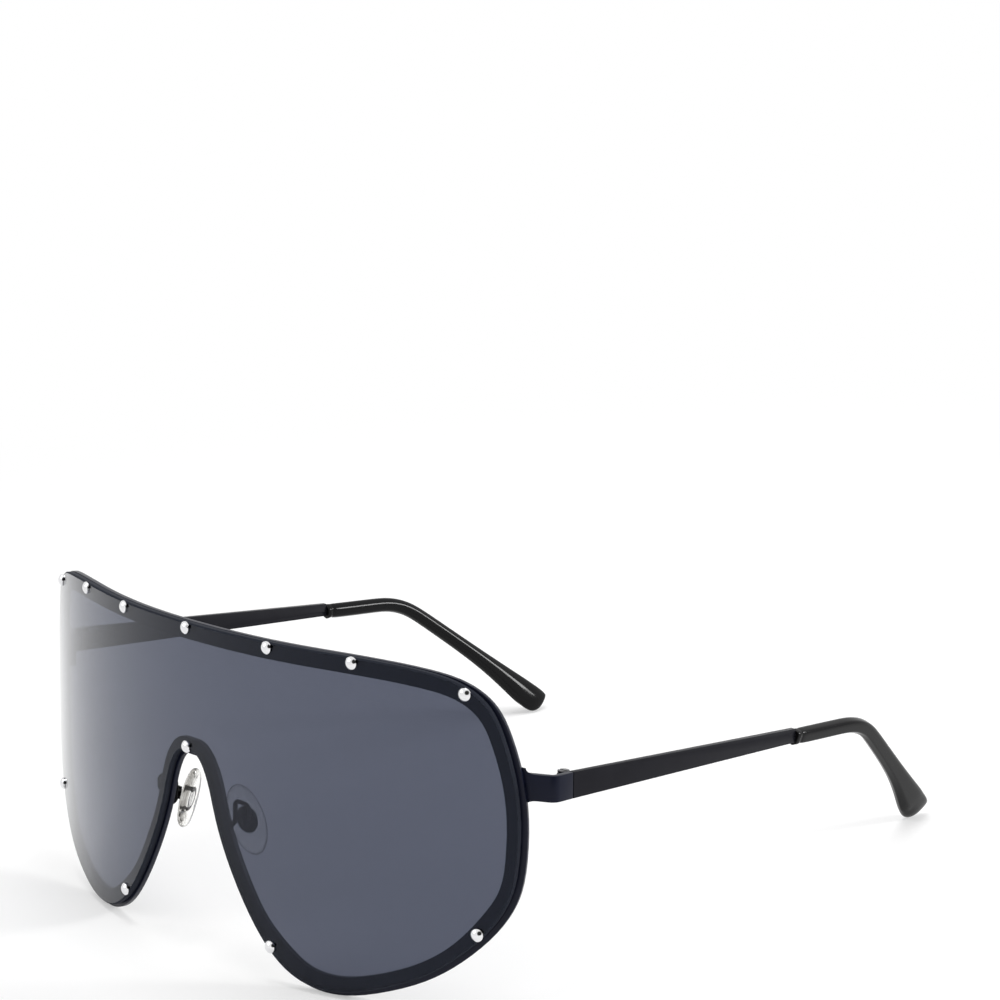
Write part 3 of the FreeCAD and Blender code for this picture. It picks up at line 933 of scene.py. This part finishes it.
    def stud_tree(self) -> Tree:
        """Tree that sets a rivet on each point, along the point's axis.

        Returns:
            The tree.
        """
        tree = Tree("rivets")
        tree.add_input("Rivet", "NodeSocketObject", None)
        rivet = tree.node("GeometryNodeObjectInfo", {}, {"Object": tree.given("Rivet")}, "Geometry")
        axis = tree.node("GeometryNodeInputNamedAttribute", {"data_type": "FLOAT_VECTOR"},
                         {"Name": STUD_AXIS})
        turn = tree.node("FunctionNodeAlignRotationToVector", {"axis": "Z"}, {"Vector": axis})
        spread = tree.node("GeometryNodeInstanceOnPoints", {}, {
            "Points": tree.given("Mesh"), "Instance": rivet, "Rotation": turn})
        tree.end(spread, self.finishes.chrome)
        return tree

    def studs(self) -> Object:
        """All rivets as one piece.

        Returns:
            The piece.
        """
        rivet = self.rivet()
        piece = self.stud_tree().run(self.stud_points(), "lens_studs_fine", {"Rivet": rivet})
        bpy.data.objects.remove(rivet)
        return piece

    def build(self) -> None:
        """Makes and attaches all the pieces of the front but the hinges and pads."""
        look = self.finishes
        lens = self.sheet("shield_lens", self.lens_radius, [look.lens, look.lens_edge])
        attach(lens, "front", "lens_tint", "shield_lens")
        rim_radius = self.lens_radius - self.lens_thick - self.seat_gap
        rim = self.sheet("rim_frame", rim_radius, [look.rim])
        attach(rim, "front", "rim_black", "rim_frame")
        attach(self.studs(), "front", "chrome", "lens_studs")


# Hinges, temples and tips

@dataclass
class TempleArm:
    """One temple with its hinge and its moulded tip."""

    side: Side
    finishes: Finishes
    stand: Standing
    toe_in_deg: float = 3.3
    temple_drop_deg: float = 1.7
    strip_middle: float = 2.0 * MM
    temple_length: float = 63.6 * MM
    straight: float = 21.7 * MM
    dropped: float = 45.8 * MM
    tip_drop_deg: float = 36.0
    tip_turn_in_deg: float = 17.1
    bend_radius: float = 16.0 * MM
    height: float = 6.6 * MM
    thick: float = 2.8 * MM
    # Share of the flare that lies below the slim part
    low_share: float = 0.9
    fixed_edge: float = 0.15 * MM
    turning_edge: float = 0.2 * MM
    mouth_crease: float = 0.9
    # Rows at the flared end that have no creases
    soft_rows: int = 5
    soft_levels: int = 3
    # Share of the length, share of the height, share of the thickness
    row_shares: tuple[tuple[float, float, float], ...] = (
        (0.0, 0.48, 0.92), (0.004, 0.5, 0.98), (0.013, 0.5, 1.0), (0.016, 0.45, 0.9),
        (0.024, 0.45, 0.9), (0.027, 0.5, 1.0), (0.1, 0.5, 1.0), (0.2, 0.49, 1.0),
        (0.255, 0.485, 1.0), (0.31, 0.48, 1.0), (0.365, 0.48, 1.0), (0.42, 0.49, 1.0),
        (0.5, 0.5, 1.0), (0.6, 0.52, 1.0), (0.7, 0.58, 1.02), (0.79, 0.71, 1.07),
        (0.87, 0.89, 1.1), (0.925, 1.0, 1.08), (0.962, 1.0, 1.0), (0.984, 0.84, 0.84),
        (0.996, 0.6, 0.62), (1.0, 0.3, 0.36))
    # Share of half the thickness inwards, share of half the height upwards, crease
    corner_shares: tuple[tuple[float, float, float], ...] = (
        (-1.0, 0.75, 0.3), (-1.02, -0.5, 0.8), (-0.4, -0.98, 0.8), (0.4, -1.0, 0.2),
        (0.85, -0.6, 0.0), (1.06, 0.2, 0.25), (0.7, 0.85, 0.2), (0.3, 1.05, 0.2),
        (-0.7, 1.05, 0.3))

    def way(self, turn_in_deg: float, drop_deg: float) -> Vector:
        """Direction on the right side that turns inwards and drops from the hinge's own direction.

        Args:
            turn_in_deg: turn inwards.
            drop_deg: drop below the level of the hinge.

        Returns:
            The direction.
        """
        turn = math.radians(turn_in_deg + self.toe_in_deg)
        down = math.radians(drop_deg)
        level = self.stand.back * math.cos(turn) - ACROSS * math.sin(turn)
        return level * math.cos(down) - self.stand.up * math.sin(down)

    def mouth(self) -> Vector:
        """Where the right tip starts, in the middle of the strip's end.

        Returns:
            The point.
        """
        hinge = Vector(joint("temple_right_fold")["pos_m"])
        turn = math.radians(self.toe_in_deg)
        outwards = ACROSS * math.cos(turn) + self.stand.back * math.sin(turn)
        along = self.way(0.0, self.temple_drop_deg)
        return hinge + outwards * self.strip_middle + along * self.temple_length

    def path(self) -> tuple[float, Callable[[float], tuple[Vector, Vector]]]:
        """Middle line of the right tip.

        Returns:
            Its length, and a function from a distance to a point and a direction.
        """
        first = self.way(0.0, self.temple_drop_deg)
        last = self.way(self.tip_turn_in_deg, self.tip_drop_deg)
        turn = first.angle(last)
        reach = self.bend_radius * math.tan(turn / 2)
        inwards = (last - first * first.dot(last)).normalized()
        lead = self.straight - reach
        bend = self.bend_radius * turn
        mouth = self.mouth()
        start = mouth + first * lead
        corner = mouth + first * self.straight

        def at(distance: float) -> tuple[Vector, Vector]:
            """Point and direction on the line.

            Args:
                distance: how far along the line.

            Returns:
                The point and the direction there.
            """
            if distance < lead:
                return mouth + first * distance, first
            if distance < lead + bend:
                angle = (distance - lead) / self.bend_radius
                point = start + inwards * (self.bend_radius * (1 - math.cos(angle)))
                return (point + first * (self.bend_radius * math.sin(angle)),
                        first * math.cos(angle) + inwards * math.sin(angle))
            return corner + last * (reach + distance - lead - bend), last

        return lead + bend + self.dropped - reach, at

    def tip(self) -> Object:
        """Moulded tip with a ridge inside, a bevel outside and a flared end.

        Returns:
            The piece.
        """
        length, at = self.path()
        first, last = at(0.0)[1], at(length)[1]
        across = first.cross(last).normalized()
        slimmest = min(row[1] for row in self.row_shares)
        shell = bmesh.new()
        crease = shell.edges.layers.float.new("crease_edge")
        rings = []
        for share, tall, wide in self.row_shares:
            point, way = at(share * length)
            up = way.cross(across)
            point = point + up * ((tall - slimmest) * self.height * (0.5 - self.low_share))
            ring = []
            for inwards, rise, _ in self.corner_shares:
                sideways = across * (inwards * wide * self.thick / 2)
                spot = point + sideways + up * (rise * tall * self.height / 2)
                ring.append(shell.verts.new((spot.x * self.side.value, spot.y, spot.z)))
            rings.append(ring)
        count = len(self.corner_shares)
        for near, far in zip(rings, rings[1:]):
            for index in range(count):
                after = (index + 1) % count
                shell.faces.new((near[index], near[after], far[after], far[index]))
        shell.faces.new(rings[0])
        shell.faces.new(rings[-1])
        bmesh.ops.recalc_face_normals(shell, faces=shell.faces)
        for near, far in zip(rings[:-self.soft_rows], rings[1:]):
            for index, (_, _, sharp) in enumerate(self.corner_shares):
                shell.edges.get((near[index], far[index]))[crease] = sharp
        for index in range(count):
            corners = rings[0][index], rings[0][(index + 1) % count]
            shell.edges.get(corners)[crease] = self.mouth_crease
        name = "temple_tip_" + self.side.tag + "_fine"
        piece = new_piece(name, as_mesh(shell, name, ALL_SMOOTH_DEG))
        piece.data.materials.append(self.finishes.tip)
        soften = piece.modifiers.new("soften", "SUBSURF")
        soften.levels = soften.render_levels = self.soft_levels
        return piece

    def build(self) -> None:
        """Makes and attaches the pieces of this temple and its hinge."""
        tag = self.side.tag
        body = "temple_arm_" + tag
        look = self.finishes
        for stem, material, width, owner, slot in (
                ("end_piece_", look.end, self.fixed_edge, "front", "rim_black"),
                ("hinge_front_", look.hinge, self.fixed_edge, "front", "hinge_black"),
                ("hinge_screw_", look.screw, self.fixed_edge, "front", "chrome"),
                ("temple_", look.temple, self.turning_edge, body, "temple_black"),
                ("hinge_rear_", look.hinge, self.turning_edge, body, "hinge_black")):
            piece = dressed(stem + tag, material, Edge.BROKEN, width)
            attach(piece, owner, slot, stem + tag)
        attach(self.tip(), body, "tip_black", "temple_tip_" + tag)


# Nose pads

@dataclass
class NosePad:
    """One nose pad with its insert, box, screw and arm."""

    side: Side
    finishes: Finishes
    fill: float = 0.8
    box_edge: float = 0.15 * MM
    screw_edge: float = 0.08 * MM
    insert_edge: float = 0.1 * MM

    @staticmethod
    def mark_edge(mesh: Mesh) -> None:
        """Marks how far each point of a flat soft form faces sideways, which places the painted
        shade along a pad's edges.

        Args:
            mesh: the mesh, which gets the mark as an attribute.
        """
        points = np.array([vertex.co for vertex in mesh.vertices])
        thin = Vector(np.linalg.svd(points - points.mean(axis=0))[2][-1])
        share = mesh.attributes.new(EDGE_SHARE, "FLOAT", "POINT")
        for entry, vertex in zip(share.data, mesh.vertices):
            entry.value = 1.0 - abs(vertex.normal.dot(thin))

    def build(self) -> None:
        """Makes and attaches the pieces of this pad."""
        tag = self.side.tag
        body = "pad_" + tag
        look = self.finishes
        arm = dressed("pad_arm_" + tag, look.pad_metal, Edge.ROUND)
        attach(arm, "front", "pad_metal", "pad_arm_" + tag)
        for stem, material, width, owner, slot in (
                ("pad_box_", look.pad_metal, self.box_edge, "front", "pad_metal"),
                ("pad_screw_", look.screw, self.screw_edge, "front", "chrome"),
                ("pad_insert_", look.pad_metal, self.insert_edge, body, "pad_metal")):
            piece = dressed(stem + tag, material, Edge.BROKEN, width)
            attach(piece, owner, slot, stem + tag)
        pad = dressed("nose_pad_" + tag, look.pad, Edge.ROUND)
        self.mark_edge(pad.data)
        attach(pad, body, "pad_clear", "nose_pad_" + tag)


# Studio

@dataclass(frozen=True)
class Lamp:
    """A square soft light: where it is, what it points at, its width and its power."""

    name: str
    place: tuple[float, float, float]
    target: tuple[float, float, float]
    width: float
    watts: float

    def hang(self) -> None:
        """Adds the light to the scene."""
        data = bpy.data.lights.new(self.name, "AREA")
        data.shape = "RECTANGLE"
        data.size = data.size_y = self.width
        data.energy = self.watts
        lamp = bpy.data.objects.new(self.name, data)
        lamp.location = self.place
        way = Vector(self.target) - Vector(self.place)
        lamp.rotation_euler = way.to_track_quat("-Z", "Y").to_euler()
        bpy.context.scene.collection.objects.link(lamp)


@dataclass
class Studio:
    """Pale floor, soft light and the camera of the reference view."""

    lamps: tuple[Lamp, ...] = (
        Lamp("overhead", (0.0, 0.1, 1.3), (0.0, 0.0, 0.0), 0.7, 7.0),
        Lamp("key", (-0.5, -1.0, 0.8), (0.0, 0.0, 0.03), 0.7, 3.0),
        Lamp("glint", (0.66, 0.65, 0.37), (-0.06, 0.05, 0.03), 0.24, 5.6))
    floor_size: float = 6.0
    floor_colour: Colour = (0.98, 0.98, 0.98)
    floor_roughness: float = 0.9
    world_level: float = 0.55
    floor_glow: float = 0.4
    glow_reach: tuple[float, float] = (0.12, 0.45)
    # Dark gap beside the camera: its direction, and the cosines where it starts and is full
    gap_level: float = 0.03
    gap_azimuth_deg: float = 62.0
    gap_elevation_deg: float = 26.0
    gap_reach: tuple[float, float] = (0.8, 0.92)
    azimuth_deg: float = 49.213
    elevation_deg: float = 14.21
    roll_deg: float = -3.796
    distance: float = 0.68225
    aim: tuple[float, float, float] = (-0.00764, 0.01891, 0.07162)
    focal_mm: float = 114.836
    sensor_mm: float = 36.0
    clip_start: float = 0.01

    @staticmethod
    def towards(azimuth_deg: float, elevation_deg: float) -> Vector:
        """Direction from the glasses.

        Args:
            azimuth_deg: turn from the front to the right.
            elevation_deg: rise above the floor.

        Returns:
            The direction.
        """
        azimuth = math.radians(azimuth_deg)
        elevation = math.radians(elevation_deg)
        level = math.cos(elevation)
        return Vector((math.sin(azimuth) * level, -math.cos(azimuth) * level, math.sin(elevation)))

    def world(self) -> None:
        """White surroundings, with a dark gap beside the camera that shows in polished pieces."""
        world = bpy.data.worlds.new("studio")
        bpy.context.scene.world = world
        world.use_nodes = True
        tree = ShaderTree(world.node_tree)

        def level(strength: float) -> Socket:
            """White of a strength."""
            white = {"Color": (1.0, 1.0, 1.0), "Strength": strength}
            return tree.node("ShaderNodeBackground", {}, white)

        gap_way = self.towards(self.gap_azimuth_deg, self.gap_elevation_deg)
        ways = {0: tree.place("Generated"), 1: gap_way[:]}
        facing = tree.node("ShaderNodeVectorMath", {"operation": "DOT_PRODUCT"}, ways, "Value")
        gap = facing.rising(*self.gap_reach) * tree.ray("Glossy")
        shown = tree.mixed(tree.seen(), level(self.world_level), level(1.0))
        tree.finish("World Output", tree.mixed(gap, shown, level(self.gap_level)))

    def floor(self) -> None:
        """White floor that keeps the shadow near the glasses."""
        shell = bmesh.new()
        bmesh.ops.create_grid(shell, x_segments=1, y_segments=1, size=self.floor_size / 2)
        mesh = bpy.data.meshes.new("floor")
        shell.to_mesh(mesh)
        shell.free()
        floor = new_piece("floor", mesh)
        paint = Paint("floor")
        paint.set(base_color=self.floor_colour, roughness=self.floor_roughness,
                  specular_ior_level=0.0)
        away = paint.node("ShaderNodeVectorMath", {"operation": "LENGTH"}, {0: paint.place()},
                          "Value")
        share = self.floor_glow + away.rising(*self.glow_reach) * (1 - self.floor_glow)
        glow = paint.node("ShaderNodeEmission", {}, {"Strength": 1.0})
        plain = Socket(paint, paint.shader.outputs["BSDF"])
        paint.finish("Material Output", paint.mixed(paint.seen() * share, plain, glow))
        mesh.materials.append(paint.material)

    def camera(self) -> None:
        """Long lens at the angle of the reference view."""
        back = self.towards(self.azimuth_deg, self.elevation_deg)
        right = Vector((0, 0, 1)).cross(back).normalized()
        axes = Matrix((right, back.cross(right), back)).transposed()
        turn = axes @ Matrix.Rotation(math.radians(self.roll_deg), 3, "Z")
        data = bpy.data.cameras.new("camera")
        data.lens = self.focal_mm
        data.sensor_width = self.sensor_mm
        data.clip_start = self.clip_start
        camera = bpy.data.objects.new("camera", data)
        place = Matrix.Translation(Vector(self.aim) + back * self.distance)
        camera.matrix_world = place @ turn.to_4x4()
        bpy.context.scene.collection.objects.link(camera)
        bpy.context.scene.camera = camera

    def build(self) -> None:
        """Sets up the view, the floor, the light and the camera."""
        bpy.context.scene.view_settings.view_transform = "Standard"
        self.world()
        self.floor()
        for lamp in self.lamps:
            lamp.hang()
        self.camera()


def main() -> None:
    """Builds every sub-assembly in order."""
    logging.basicConfig(level=logging.INFO, format="%(name)s: %(message)s")
    finishes = Finishes.made()
    stand = Standing()
    Front(finishes, stand).build()
    for side in Side:
        TempleArm(side, finishes, stand).build()
        NosePad(side, finishes).build()
    Studio().build()


if __name__ == "__main__":
    main()
